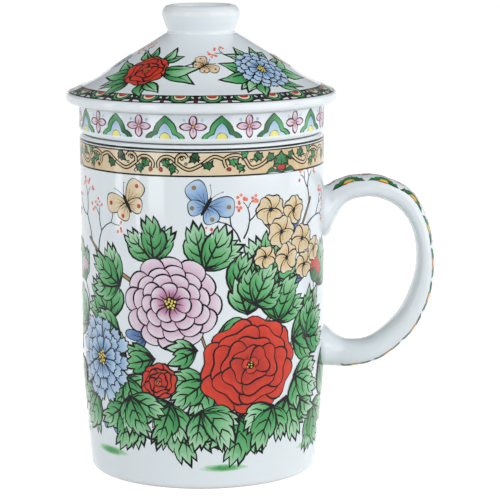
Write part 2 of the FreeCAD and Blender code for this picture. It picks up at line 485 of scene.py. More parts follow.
# a leaf's outline as shares of its length and half width: foot, one lobe, a side without lobes, and tip
leafForm = {"foot": ((0.06, 0.22), (0.16, 0.58), (0.28, 0.86)),
            "lobe": ((0.0, 1.0), (0.16, 0.98), (0.25, 0.82), (0.17, 0.56)),
            "plain": ((0.46, 0.98), (0.64, 0.74)),
            "tip": ((0.80, 0.36), (0.92, 0.17), (1, 0.02), (0.92, -0.14), (0.80, -0.34)),
            "lobeAt": (0.42, 0.26), "lobeWide": (1.06, -0.34), "shift": 0.04, "bow": 0.14,
            "midrib": 0.72, "rib": 0.56, "ribs": [(0.36, 0.72), (0.33, -0.72)], "deep": 0.36, "light": 0.80,
            "slim": 0.52, "spread": 36}


def leaf(sheet, base, tip, width, lobes, shade):
    # a broad leaf with a pointed tip and pointed lobes below it, a midrib and side veins
    span = tip - base
    length = abs(span)
    turn = span / length
    bow = random.uniform(-leafForm["bow"], leafForm["bow"])

    def at(along, across):
        bend = bow * length * math.sin(math.pi * along)
        return base + turn * complex(along * length, across * width / 2 + bend)
    edges = {side: [at(a, side * b) for a, b in leafForm["foot"]] for side in (1, -1)}
    ribs = []
    for k in range(lobes):
        share, spread = (first + step * k for first, step in (leafForm["lobeAt"], leafForm["lobeWide"]))
        for side, edge in edges.items():
            start = share + random.uniform(-leafForm["shift"], leafForm["shift"])
            edge += [at(start + a, side * spread * b) for a, b in leafForm["lobe"]]
            ribs.append((start + 0.16, side * spread * 0.78))
    if not lobes:
        for side, edge in edges.items():
            edge += [at(a, side * b) for a, b in leafForm["plain"]]
    outline = [at(0, 0)] + edges[1] + [at(a, b) for a, b in leafForm["tip"]] + edges[-1][::-1]
    lean = random.choice((-1, 1)) * 1j * turn * width
    tone = fade(sheet, base - lean * 0.30, base + span * 0.75 + lean * 0.42,
                leafForm["deep"] + shade, leafForm["light"] + shade)
    outlined(sheet, outline, "green", tone)
    vein(sheet, at(0, 0), at(0.9, 0), leafForm["midrib"], 0.0)
    for share, side in ribs + leafForm["ribs"]:
        vein(sheet, at(share - 0.30, 0), at(share, side), leafForm["rib"], math.copysign(0.12, side))


def leafFan(sheet, base, towards, count, size, spread=leafForm["spread"], lobes=None, slim=leafForm["slim"]):
    # leaves that share a stalk, the middle one last and longest
    if lobes is None:
        lobes = 2 if size > 12.5 else 1
    for off in sorted((k - (count - 1) / 2 for k in range(count)), key=lambda off: -abs(off)):
        length = size * (1 - 0.12 * abs(off)) * random.uniform(0.93, 1.07)
        turn = unit(towards + off * spread + random.uniform(-5, 5))
        shade = random.uniform(-0.06, 0.10)
        leaf(sheet, base + turn * 0.6, base + turn * length, length * slim, lobes, shade)


def placer(at, turn, flat):
    # sets a flower down at a point, turned and foreshortened
    def place(p):
        return at + unit(turn) * complex(p.real, p.imag * flat)
    return place


def seeds(sheet, place, radius, count):
    dot(sheet, place(0), radius * 0.9, "black", sides=14)
    for k in range(count):
        p = radius * 0.78 * math.sqrt((k + 0.5) / count) * unit(137.5 * k)
        dot(sheet, place(p), radius * 0.17, "cream", 0.15, sides=6)


# blooms: each ring of petals is its count, its inner and its outer share of the radius
blooms = {"dahlia": {"rings": ((12, 0.36, 1.0), (11, 0.26, 0.80), (9, 0.16, 0.61), (7, 0.08, 0.42)),
                     "step": 14, "form": (0.58, 0.95, 9, 0.0), "line": 0.46, "seeds": (0.15, 11)},
          "camellia": {"rings": ((7, 0.22, 1.0), (6, 0.14, 0.78), (5, 0.06, 0.57), (4, 0.0, 0.36)),
                       "step": 31, "form": (0.50, 0.62, 9, 0.10), "line": 0.48, "seeds": (0.09, 5)},
          "aster": {"rings": ((15, 0.30, 1.0), (12, 0.22, 0.76), (9, 0.14, 0.53)), "step": 9,
                    "tip": [0, 0.30 + 0.55j, 0.74 + 1j, 0.93 + 0.85j, 0.90 + 0.42j, 1.02 + 0.06j,
                            0.90 - 0.42j, 0.93 - 0.85j, 0.74 - 1j, 0.30 - 0.55j],
                    "line": 0.38, "seeds": (0.2, 12)}}


def bloomRing(sheet, kind, place, ring, plan, radius, width, ink, deep, light):
    count, inner, out = plan
    base, length = inner * radius, (out - inner) * radius
    first = blooms[kind]["step"] * ring
    for k in range(count):
        turn = unit(first + 360 * k / count + random.uniform(-3, 3))
        long = length * random.uniform(0.94, 1.06)
        wide = width * random.uniform(0.94, 1.06)
        shape = [place(p) for p in petal(turn * base, turn, long, wide, *blooms[kind]["form"])]
        tone = fade(sheet, place(turn * (base + 0.3 * long)), place(turn * (base + long)), deep, light)
        outlined(sheet, shape, ink, tone, blooms[kind]["line"])
        for side in (-1, 0, 1) if ring < 2 else (0,):
            vein(sheet, place(turn * complex(base + long * 0.12, side * width * 0.12)),
                 place(turn * complex(base + long * 0.66, side * width * 0.26)), 0.34, 0.05 * side)


def heart(sheet, kind, place, radius):
    share, count = blooms[kind]["seeds"]
    seeds(sheet, place, radius * share, count)


def dahlia(sheet, at, radius, flat, ink="pink"):
    # rings of pointed cupped petals, pale at their tips
    place = placer(at, 0, flat)
    for ring, plan in enumerate(blooms["dahlia"]["rings"]):
        width = math.pi * radius * (plan[1] + plan[2]) / plan[0] * 1.42
        bloomRing(sheet, "dahlia", place, ring, plan, radius, width, ink, 0.12, 0.95)
    heart(sheet, "dahlia", place, radius)


def camellia(sheet, at, radius, turn, flat, small=0):
    # broad overlapping petals in rings round a half-open heart; a small one (1) lacks the outer ring
    place = placer(at, turn, flat)
    for ring, plan in enumerate(blooms["camellia"]["rings"][small:]):
        width = 2 * math.pi * radius * plan[2] / plan[0] * 0.98
        bloomRing(sheet, "camellia", place, ring, plan, radius, width, "red", 0.30, 0.60 - 0.03 * ring)
    for k in range(3):
        spin = unit(120 * k + 20)
        shape = petal(-0.03 * radius * spin, spin, radius * 0.2, radius * 0.19, 0.6, 0.8)
        outlined(sheet, [place(p) for p in shape], "red", 0.5, 0.28)
    heart(sheet, "camellia", place, radius)


def aster(sheet, at, radius, flat, ink="blue"):
    # many slim petals with toothed ends round a woolly heart
    place = placer(at, 0, flat)
    tip = blooms["aster"]["tip"]
    for ring, (count, inner, out) in enumerate(blooms["aster"]["rings"]):
        base = inner * radius
        for k in range(count):
            spin = unit(360 * k / count + blooms["aster"]["step"] * ring + random.uniform(-4, 4))
            length = (out - inner) * radius * random.uniform(0.9, 1.08)
            half = math.pi * radius * (inner + out) / 2 / count * 1.12
            shape = [place(spin * complex(base + p.real * length, p.imag * half)) for p in tip]
            tone = fade(sheet, place(spin * base), place(spin * out * radius), 0.3, 0.95)
            outlined(sheet, shape, ink, tone, blooms["aster"]["line"])
            vein(sheet, place(spin * (base + length * 0.15)), place(spin * (base + length * 0.72)), 0.26, 0.0)
    heart(sheet, "aster", place, radius)


def blossom(sheet, at, radius, turn):
    # five notched petals and a few stamens
    place = placer(at, turn, 0.9)
    for k in range(5):
        spin = unit(72 * k)
        shape = [place(p) for p in petal(0, spin, radius, radius * 1.12, 0.55, 0.62, 8, 0.12)]
        outlined(sheet, shape, "cream", fade(sheet, at, place(spin * radius), 0.62, 0.86), 0.36)
    for k in range(5):
        spin = unit(72 * k + 36)
        vein(sheet, at, place(spin * radius * 0.46), 0.28, 0.0)
        dot(sheet, place(spin * radius * 0.50), 0.32, "cream", 0.05, sides=6)
    dot(sheet, at, radius * 0.15, "black", sides=8)


def bud(sheet, at, towards, size, ink):
    turn = unit(towards)
    stroke(sheet, [at - turn * size * 1.5, at - turn * (0.8 + 0.2j) * size, at], 0.5, 0.4)
    for side, grow in ((24, 1.0), (-24, 1.0), (0, 1.15)):
        spin = unit(towards + side)
        outlined(sheet, petal(at, spin, size * grow, size * 0.62, 0.7, 0.8), ink,
                 fade(sheet, at, at + spin * size, 0.25, 0.55), 0.24)
    for side in (40, -40, 8):
        shape = petal(at - turn * 0.3, unit(towards + side), size * 0.62, size * 0.26, 0.6, 1.0, 6)
        outlined(sheet, shape, "green", 0.3, 0.22)


def butterfly(sheet, at, towards, size, wingInk, deep, light, spotInk):
    turn = unit(towards)
    for side in (1, -1):
        for angle, length, width in ((64, 1.0, 0.72), (128, 0.66, 0.56)):
            spin = turn * unit(angle * side)
            shape = petal(at, spin, size * length, size * width, 0.48, 0.7, 8)
            outlined(sheet, shape, wingInk, fade(sheet, at, at + spin * size * length, deep, light), 0.26)
            for off in (-0.24, 0.0, 0.24):
                vein(sheet, at + spin * size * 0.1, at + spin * size * complex(length * 0.66, off), 0.16, 0)
            dot(sheet, at + spin * size * length * 0.8, size * 0.085, spotInk, 0.4, sides=8)
        feeler = [at + turn * size * complex(a, b * side) for a, b in ((0.26, 0), (0.5, 0.10), (0.72, 0.26))]
        stroke(sheet, feeler, 0.16, 0.12)
        dot(sheet, feeler[-1], 0.2, "black", sides=6)
    lay(sheet, petal(at - turn * 0.42 * size, turn, size * 0.78, size * 0.15, 0.8, 0.7, 7), "black")


def sprig(sheet, base, towards, size, depth=3):
    # a fine twig that forks, with coral berries at its ends
    turn = unit(towards)
    tip = base + turn * size
    stroke(sheet, [base, base + turn * size * complex(0.5, 0.06 * random.choice((-1, 1))), tip],
           0.14 + 0.13 * depth, 0.12 + 0.08 * depth, between=3)
    if depth > 1:
        for side in (-1, 1):
            turned = towards + side * random.uniform(20, 44)
            sprig(sheet, tip, turned, size * random.uniform(0.6, 0.8), depth - 1)
        return
    for k in range(5):
        spot = tip + unit(towards + random.uniform(-110, 110)) * random.uniform(0.5, 2.3)
        dot(sheet, spot, random.uniform(0.32, 0.55), "red", random.uniform(0.72, 0.92), sides=7,
            tall=random.uniform(0.9, 1.5))


def wash(sheet, at, width, height):
    # a soft stroke of green on the ground, palest at its ends
    turns = [2 * math.pi * k / 26 for k in range(26)]
    for share, tone in ((1.0, 0.97), (0.86, 0.88), (0.70, 0.78), (0.52, 0.66), (0.32, 0.56)):
        edge = []
        for turn in turns:
            rough = 1 + 0.10 * math.sin(5 * turn + share * 9) * abs(math.cos(turn))
            edge.append(at + complex(width / 2 * share * rough * math.cos(turn),
                                     height / 2 * share ** 0.7 * math.sin(turn)))
        lay(sheet, edge, "green", tone)


print("drawing hand ready")


def onMug(x, y):
    low = min(1.0, y / mug["taperTop"])
    over = max(0.0, y - mugTop + mug["rim"])
    radius = mugR - mug["footDraw"] * (1 - low) - mug["rim"] + math.sqrt(mug["rim"] ** 2 - over ** 2)
    slope = mug["footDraw"] / mug["taperTop"] if low < 1 else 0.0
    out = Vector((math.sin(x / mugR), -math.cos(x / mugR), 0))
    return out * radius + Vector((0, 0, y)), (out - Vector((0, 0, slope))).normalized()


def onCollar(x, y):
    out = Vector((math.sin(x / mugR), -math.cos(x / mugR), 0))
    return out * mugR + Vector((0, 0, y)), out


def settle(sheet):
    # cuts the sheet where shapes cross and keeps the uppermost shape in each piece
    left, right, low, high = sheet["laid"][0][2]
    step, jitter = sheet["grid"], sheetRules["jitter"]
    points = list(sheet["points"])
    for row in range(int((high - low) / step) + 1):
        for column in range(int((right - left) / step) + 1):
            x = left + (column + 0.5 * (row % 2)) * step + random.uniform(-jitter, jitter)
            y = low + row * step + random.uniform(-jitter, jitter)
            if left < x < right and low < y < high:
                points.append(Vector((x, y)))
    # kind 1 gives triangles, and only those inside the outlines
    spots, _, faces, _, _, owners = delaunay_2d_cdt(points, [], sheet["faces"], 1, sheetRules["weld"])
    parts = {}
    for face, owner in zip(faces, owners):
        if 0 not in owner:
            continue
        middle = (spots[face[0]] + spots[face[1]] + spots[face[2]]) / 3
        for k in sorted(owner, reverse=True):
            ink, tone, (a, b, c, d) = sheet["laid"][k]
            if a <= middle.x <= b and c <= middle.y <= d:
                if ink and ink != "bare":
                    parts.setdefault(ink, []).append((face, tone))
                break
    return spots, parts


def skin(sheet, name, ink, body, spots, triangles):
    # one ink of a settled sheet, as a thin closed skin of enamel wrapped on the ware
    bm = bmesh.new()
    toneMark = bm.loops.layers.float.new("tone")
    made = {}
    for face, tone in triangles:
        for i in face:
            if i not in made:
                made[i] = bm.verts.new((spots[i].x, spots[i].y, 0))
        try:
            top = bm.faces.new([made[i] for i in face])
        except ValueError:
            continue
        for loop in top.loops:
            here = complex(loop.vert.co.x, loop.vert.co.y)
            loop[toneMark] = tone(here) if callable(tone) else tone
    for item in bmesh.ops.extrude_face_region(bm, geom=bm.faces[:], use_keep_orig=True)["geom"]:
        if isinstance(item, bmesh.types.BMVert):
            item.co.z = 1
    for face in bm.faces:
        face.smooth = all(v.co.z > 0.5 for v in face.verts)
    leans = []
    for vert in bm.verts:
        place, lean = sheet["wrap"](vert.co.x, vert.co.y)
        lift = sheetRules["raised"] if vert.co.z > 0.5 else -sheetRules["sunk"]
        vert.co = place + lean * lift
        leans.append(lean)
    mesh = meshOf(bm, name, mm)
    normals = []
    for face in mesh.polygons:
        normals += [leans[i] if face.use_smooth else (0, 0, 0) for i in face.vertices]
    mesh.normals_split_custom_set(normals)
    linked(mesh, name, body)
    mesh.materials.append(enamels[ink])
    print(name, "fired,", sum(len(face.vertices) - 2 for face in mesh.polygons), "triangles")


def fire(sheet, body, parting=-math.inf):
    # what lies left of a parting line makes pieces of its own, so that no piece grows too heavy
    spots, parts = settle(sheet)
    for ink, triangles in sorted(parts.items()):
        near = [t for t in triangles if spots[t[0][0]].x >= parting]
        far = [t for t in triangles if spots[t[0][0]].x < parting]
        skin(sheet, sheet["name"] + ink.capitalize(), ink, body, spots, near)
        if far:
            skin(sheet, sheet["name"] + "Far" + ink.capitalize(), ink, body, spots, far)


enamels = {ink: bpy.data.materials.new(ink + "Enamel") for ink in
           ("black", "green", "red", "pink", "blue", "cream")}


# the vine band round the top of the mug: three repeats, each of two mirrored halves
band = {"low": 94.5, "line": 0.5, "top": 101.5, "second": 0.38, "gap": 0.3, "heavy": 0.62, "repeats": 3,
        "centre": -20.2, "stem": 1.3, "core": 0.5, "leafLine": 0.36, "barStep": 1.4, "grounds": 120}
vine = {"stems": [[1.0 + 2.0j, 0.8 + 3.6j, 2.0 + 5.0j, 3.6 + 5.4j, 5.1 + 4.9j, 6.5 + 3.6j, 9.9 + 1.7j,
                   13.6 + 3.1j, 17.2 + 5.4j, 20.2 + 4.6j],
                  [6.4 + 3.6j, 6.5 + 5.0j, 7.5 + 6.0j, 8.9 + 6.0j, 9.6 + 5.1j],
                  [20.3 + 4.5j, 21.4 + 5.3j, 23.4 + 5.8j, 25.6 + 5.4j, 26.9 + 4.2j, 28.7 + 1.9j, 32.0 + 2.6j,
                   34.6 + 4.4j],
                  [20.2 + 4.7j, 20.5 + 3.4j, 21.0 + 2.2j]],
        "berries": [(8.0 + 4.9j, 0.62), (9.2 + 3.4j, 0.5), (28.6 + 4.0j, 0.5), (26.4 + 2.4j, 0.42)],
        "leaves": [(3.0 + 4.4j, -75, 2.0, 0.35), (4.2 + 1.7j, 20, 2.1, 0.3), (10.6 + 5.4j, -20, 2.4, 0.1),
                   (11.6 + 4.8j, 60, 1.9, 0.12), (15.4 + 3.9j, -75, 2.3, 0.2), (23.2 + 4.7j, -85, 2.2, 0.45),
                   (24.4 + 1.8j, 20, 1.9, 0.4), (25.6 + 5.9j, 10, 2.0, 0.5), (29.8 + 5.6j, -35, 2.3, 0.45),
                   (30.8 + 4.4j, 50, 1.8, 0.3)],
        "leaf": [0, 0.18 + 0.34j, 0.10 + 0.62j, 0.46 + 0.40j, 0.66 + 0.50j, 0.74 + 0.22j, 1.0, 0.74 - 0.22j,
                 0.66 - 0.50j, 0.46 - 0.40j, 0.10 - 0.62j, 0.18 - 0.34j],
        "buds": [1.0 + 1.6j, 21.2 + 1.7j], "curl": [5.9 + 2.2j, 7.0 + 1.2j, 6.4 + 0.5j], "curls": (0, 19.6)}
palm = {"wing": [0.2, 5.4, 4.4 + 1.0j, 3.4 + 1.5j, 2.2 + 0.7j, 0.9 + 0.9j], "tone": 0.32, "sideTone": 0.3,
        "leaves": [(145, 3.2), (35, 3.2), (90, 3.9)], "rise": 2.0j, "sides": (-3.6, 3.6), "sideRise": 3.6,
        "heart": [1.1 + 0.1j, 1.5 + 1.1j, 0.8 + 1.7j, 1.3j, -0.8 + 1.7j, -1.5 + 1.1j, -1.1 + 0.1j]}
around = 2 * math.pi * mugR
seam = math.pi / 2 * mugR                # behind the handle
bandBase = band["low"] + band["line"]


def bar(sheet, left, right, low, high, ink):
    steps = math.ceil((right - left) / band["barStep"])
    bottom = [complex(left + (right - left) * k / steps, low) for k in range(steps + 1)]
    lay(sheet, bottom + [complex(p.real, high) for p in reversed(bottom)], ink)


def vineLeaf(sheet, at, towards, size, tone, flip=straight):
    # a small three-lobed leaf
    turn = unit(towards) * size
    outlined(sheet, [flip(at + turn * p) for p in vine["leaf"]], "green", tone, band["leafLine"])
    vein(sheet, flip(at), flip(at + turn * 0.7), 0.3, 0)


def vineHalf(sheet, middle, side):
    def flip(p):
        return complex(middle + side * p.real, p.imag)
    rise = bandBase * 1j
    for stem in vine["stems"]:
        path = [flip(p + rise) for p in stem]
        stroke(sheet, path, band["stem"], band["stem"])
        stroke(sheet, path, band["core"], band["core"], "cream", 0.72)
    for p, size in vine["berries"]:
        dot(sheet, flip(p + rise), size, "black")
        dot(sheet, flip(p + rise), size * 0.45, "cream", 0.8, sides=8)
    for p, towards, size, tone in vine["leaves"]:
        vineLeaf(sheet, p + rise, towards, size, tone, flip)
    for at in vine["buds"]:
        outlined(sheet, [flip(p) for p in petal(at + rise, 1, 1.1, 1.0, 0.6, 0.7, 6)], "red", 0.3, 0.2)
    for shift in vine["curls"]:
        stroke(sheet, [flip(p + shift + rise) for p in vine["curl"]], 0.42, 0.22)


def palmette(sheet, x):
    at = complex(x, bandBase)
    for side in (-1, 1):
        outlined(sheet, [at + complex(side * p.real, p.imag) for p in palm["wing"]], "green", 0.2, 0.22)
    for towards, size in palm["leaves"]:
        vineLeaf(sheet, at + palm["rise"], towards, size, palm["tone"])
    for off in palm["sides"]:
        base = at + complex(off, palm["sideRise"])
        vineLeaf(sheet, base, 90 - math.copysign(20, off), 2.3, palm["sideTone"])
    outlined(sheet, [at + 0.5j + p for p in palm["heart"]], "red", 0.35, 0.22)


def vineBand(sheet):
    left, right = seam - around, seam
    half = around / band["repeats"] / 2
    steps = band["grounds"]

    def ground(p):
        return 0.78 + 0.12 * math.cos(math.pi * p.real / half + 0.8)
    for k in range(steps):
        a, b = (left + (right - left) * j / steps for j in (k, k + 1))
        lay(sheet, box(a, b, bandBase, band["top"]), "cream", ground)
    centre = math.radians(band["centre"]) * mugR
    for k in range(-3, 2):
        middle = centre + 2 * half * k
        if not left - half < middle < right + half:
            continue
        for side in (-1, 1):
            vineHalf(sheet, middle, side)
        palmette(sheet, middle + half)
    bar(sheet, left, right, band["low"], bandBase, "black")
    low = band["top"]
    for high, ink in ((band["second"], "black"), (band["gap"], "bare"), (band["heavy"], "black")):
        bar(sheet, left, right, low, low + high, ink)
        low += high


# the garden on the mug: blooms, leaves and sprigs, placed in millimetres round the wall and up it
front = {"washes": [(-33 + 9.4j, 15, 2.8), (7 + 6.8j, 15, 2.4), (42 + 9.8j, 15, 2.6), (-53 + 13j, 13, 2.4)],
         "stems": [[2 + 20j, 4 + 34j, 48j], [-22 + 18j, -26 + 30j, -34 + 36j], [14 + 22j, 28 + 40j, 37 + 54j],
                   [20 + 50j, 29 + 62j, 33 + 74j, 40 + 86j], [-20 + 62j, -34 + 69j, -42 + 74j],
                   [31 + 66j, 26 + 74j, 20 + 80j]],
         "blue leaves": [(-17 + 46j, 200, 7), (4 + 29j, 265, 6), (35 + 62j, 150, 6), (-31 + 22j, 260, 7),
                         (18 + 21j, 235, 6), (30 + 77j, 20, 6), (22 + 71j, 190, 6), (38 + 40j, 30, 7)],
         "fans": [(-52 + 44j, 165, 3, 14), (-49 + 60j, 105, 3, 13), (-50 + 30j, 215, 3, 15),
                  (46 + 58j, 75, 3, 14), (46 + 34j, 345, 3, 15), (42 + 22j, 300, 3, 15),
                  (20 + 62j, 75, 3, 16), (-24 + 34j, 290, 3, 13), (-38 + 27j, 225, 3, 15),
                  (-24 + 25j, 250, 3, 15), (-6 + 24j, 275, 3, 16), (12 + 23j, 262, 3, 16),
                  (28 + 27j, 290, 3, 15), (-44 + 47j, 160, 3, 14), (-30 + 50j, 130, 3, 15),
                  (-26 + 61j, 150, 3, 15), (-14 + 69j, 100, 3, 14), (1 + 67j, 62, 3, 15),
                  (9 + 60j, 25, 3, 14), (24 + 50j, 60, 3, 15), (30 + 44j, 15, 3, 15),
                  (31 + 33j, 335, 3, 14), (14 + 53j, 95, 2, 12), (-24 + 40j, 175, 3, 13),
                  (2 + 34j, 215, 3, 13), (-14 + 40j, 180, 2, 12), (-46 + 32j, 200, 2, 12),
                  (40 + 50j, 80, 2, 10), (-26 + 47j, 200, 3, 14), (36 + 44j, 30, 3, 14),
                  (5 + 48j, 330, 3, 13), (16 + 56j, 60, 3, 13)],
         "sprigs": [(-40 + 73j, 115, 8), (-36 + 70j, 75, 7), (39 + 84j, 100, 5), (38 + 78j, 20, 6),
                    (13 + 76j, 70, 5.5), (12 + 75j, 120, 5.5)],
         "buds": [(42 + 60j, 70, 7.0, "red"), (-46 + 60j, 110, 6.5, "pink")],
         "blossoms": [(22 + 84j, 4.8, 10), (31 + 83j, 4.4, 50), (26 + 77j, 5.0, 30), (35 + 74j, 4.8, 0),
                      (28 + 69j, 4.6, 60), (36 + 66j, 4.2, 20), (42 + 70j, 3.8, 40), (20 + 70j, 3.6, 15)],
         "aster": (-35 + 38j, 12.5, 1.05), "camellia": (15 + 38j, 15.5, 20, 0.92),
         "dahlia": (-9 + 57j, 15.0, 0.92), "small camellia": (-13 + 33j, 7.4, 50, 0.9, 1),
         "late fans": [(-9 + 27j, 245, 3, 14), (25j, 300, 3, 14), (23 + 25j, 250, 3, 14),
                       (-23 + 28j, 300, 3, 14), (-1 + 43j, 190, 2, 10), (34 + 25j, 320, 2, 10)],
         "butterflies": [(2 + 86j, 60, 8.2, "blue", 0.35, 0.9, "cream"),
                         (-23 + 86j, 120, 8.0, "cream", 0.6, 0.95, "red")]}


def strew(sheet, draw, places):
    for place in places:
        draw(sheet, *place)


def stem(sheet, *path):
    stroke(sheet, path, 1.5, 0.9)
    stroke(sheet, path, 0.8, 0.35, "cream", 0.45)


def blueLeaf(sheet, base, towards, size):
    for side in (-28, 28):
        turn = unit(towards + side)
        tone = fade(sheet, base, base + turn * size, 0.05, 0.45)
        outlined(sheet, petal(base, turn, size, size * 0.42, 0.7, 1.0, 7), "blue", tone, 0.32)
        vein(sheet, base, base + turn * size * 0.8, 0.3, 0.0)


def garden(sheet, large, small):
    for draw, places in ((wash, "washes"), (stem, "stems"), (blueLeaf, "blue leaves"), (leafFan, "fans"),
                         (sprig, "sprigs"), (bud, "buds"), (blossom, "blossoms")):
        strew(sheet, draw, front[places])
    aster(sheet, *front["aster"], small)
    camellia(sheet, *front["camellia"])
    dahlia(sheet, *front["dahlia"], large)
    camellia(sheet, *front["small camellia"])
    strew(sheet, leafFan, front["late fans"])
    strew(sheet, butterfly, front["butterflies"])


def farSide(p):
    # the same garden again, mirrored on the far side of the mug
    return complex(-math.pi * mugR - p.real, p.imag)


mugSheet = newSheet("mugPrint", box(seam - around, seam, 3, mugTop - 0.9), onMug)
garden(mugSheet, "pink", "blue")
mugSheet["bend"] = farSide
garden(mugSheet, "blue", "pink")
mugSheet["bend"] = straight
vineBand(mugSheet)
fire(mugSheet, "mug", seam - around / 2)


# the collar: lappets with a flower between each two
collarPrint = {"repeats": 14, "centre": 10.1, "base": 105.7, "deep": 8.2, "clear": 0.4,
               "outer": [5.6, 5.65 + 0.4j, 5.0 + 1.1j, 4.2 + 1.6j, 3.5 + 1.85j, 3.3 + 2.5j, 3.05 + 3.4j,
                         2.4 + 4.4j, 1.3 + 5.4j, 0.4 + 6.1j, 6.5j],
               "inner": [4.1, 4.1 + 0.2j, 3.4 + 0.75j, 2.6 + 1.05j, 2.15 + 1.3j, 1.9 + 2.1j, 1.5 + 3.0j,
                         0.9 + 3.8j, 0.3 + 4.35j, 4.55j]}


def bothSides(at, half):
    # a half outline from the base up to the middle, mirrored down the other side
    return [at + p for p in half + [complex(-p.real, p.imag) for p in reversed(half[:-1])]]


def lappet(sheet, at, flip):
    tone = fade(sheet, at - 3 * flip, at + 3 * flip, 0.24, 0.62)
    outlined(sheet, bothSides(at, collarPrint["outer"]), "green", tone, 0.36, "green", 0.0)
    tone = fade(sheet, at + 0.5j, at + 4.2j, 1.0, 0.68)
    outlined(sheet, bothSides(at, collarPrint["inner"]), "blue", tone, 0.28, "green", 0.0)
    outlined(sheet, moon(at, 1.6, 1.6), "cream", 0.19, 0.2, "green", 0.3)
    bar(sheet, at.real - 6.4, at.real + 6.4, at.imag - 0.8, at.imag, "bare")


def quatrefoil(sheet, at, pale):
    for k in range(4):
        spin = unit(90 * k)
        long = 3.1 if k % 2 else 3.6
        tone = fade(sheet, at, at + spin * long, 0.3 + pale, 0.75 + pale)
        shape = petal(at + 0.3 * spin, spin, long - 0.3, 1.75, 1.0, 1.45, 8)
        outlined(sheet, shape, "pink", tone, 0.4, "red", 0.0)
        vein(sheet, at + spin * 0.6, at + spin * 2.2, 0.24, 0.0, "red", 0.05)
    dot(sheet, at, 0.52, "red", 0.05, sides=8)
    dot(sheet, at, 0.30, "cream", 0.12, sides=6)
    for x in (-2.65, 2.65):
        dot(sheet, at + complex(x, 1.9), 0.5, "blue", 0.8 + pale, sides=8)


def collarArt(sheet):
    repeat = around / collarPrint["repeats"]
    first = math.radians(collarPrint["centre"]) * mugR
    last = math.ceil((seam - first) / repeat)      # the seam cuts the first and the last of the row
    for k in range(last - collarPrint["repeats"] - 1, last + 1):
        middle = first + k * repeat
        lappet(sheet, complex(middle, collarPrint["base"]), 1 if k % 2 else -1)
        quatrefoil(sheet, complex(middle + repeat / 2, collarPrint["base"] + 3.5), 0.15 * (k % 2))


collarSheet = newSheet("collarPrint", box(seam - around, seam, collarTop - collarPrint["deep"],
                                          collarTop - collarPrint["clear"]), onCollar)
collarArt(collarSheet)
fire(collarSheet, "infuser")


# the lid: its upper surface, as radius, height and slope from the brim in to the knob
def lidTop():
    path = [spot for spot, _ in rounded(lidCorners())]
    widest = max(k for k, spot in enumerate(path) if spot.x > brimR - lid["brimSlack"])
    top = path[widest:-1]
    rows = []
    for a, b, c in zip(top, top[1:], top[2:] + top[-1:]):
        along = c - a
        rows.append((b.x, b.y, math.atan2(-along.x, along.y)))
    return rows


lidRows = lidTop()


def onLid(x, y):
    radius = math.hypot(x, y)
    out = Vector((x, y, 0)) / max(radius, sheetRules["least"])
    for (r1, z1, lean1), (r2, z2, lean2) in zip(lidRows, lidRows[1:]):
        if r2 <= radius <= r1:
            share = (r1 - radius) / max(r1 - r2, sheetRules["least"])
            lean = lean1 + (lean2 - lean1) * share
            return (out * radius + Vector((0, 0, z1 + (z2 - z1) * share)),
                    out * math.cos(lean) + Vector((0, 0, math.sin(lean))))
    z = lidRows[0][1] if radius > lidRows[0][0] else lidRows[-1][1]
    return out * radius + Vector((0, 0, z)), Vector((0, 0, 1))


# cone is the sine of the angle between the lid's slope and its axis
sprays = {"turns": {"red": -37, "blue": 44, "pink": 137, "cream": -128}, "radius": 27.0, "cone": 0.853,
          "stem": [-6 - 4j, -2 - 2j, 3 - 1j, 9 + 3j], "leaf": (38, 0, 0.42),
          "fans": [(5 + 1j, 14, 2, 12), (-5 + 0j, 176, 3, 10.5), (-2 + 5j, 115, 2, 7), (3 + 5j, 62, 2, 7),
                   (2 - 4j, 318, 2, 9), (-3 - 4j, 222, 2, 9.5)],
          "blossoms": [-3.8, 3.6 + 0.4j, 4.2j, 0.2 - 3.4j],
          "butterflies": [(3, 24, 40, "cream"), (90, 25, 100, "cream"), (182, 25, 60, "blue"),
                          (-82, 25, 120, "blue")]}


def onSlope(degrees, radius):
    # lets a spray be drawn upright on the lid: up is towards the knob
    start = math.radians(degrees)
    cone = sprays["cone"]
    slant = radius / cone

    def bend(p):
        out = math.hypot(p.real, slant - p.imag)
        turn = start + math.atan2(p.real, slant - p.imag) / cone
        return cone * out * complex(math.sin(turn), -math.cos(turn))
    return bend


lidBorder = {"repeats": 25, "phase": 5.9, "outer": 40.55, "inner": 36.4, "line": 0.45, "middle": 38.6,
             "pieces": 150, "sheet": 40.7, "sheetSides": 180, "grid": 1.1,
             "moons": [(3.5, 3.7, "black", 0.5), (3.05, 3.25, "green", 0.2), (2.65, 2.8, "green", 0.62),
                       (2.3, 2.45, "black", 0.5), (1.9, 2.0, "cream", 0.95), (1.5, 1.1, "red", 0.2),
                       (1.1, 0.45, "red", 0.6)]}


def roundLid(p):
    turn = p.real / lidBorder["middle"]
    return p.imag * complex(math.sin(turn), -math.cos(turn))


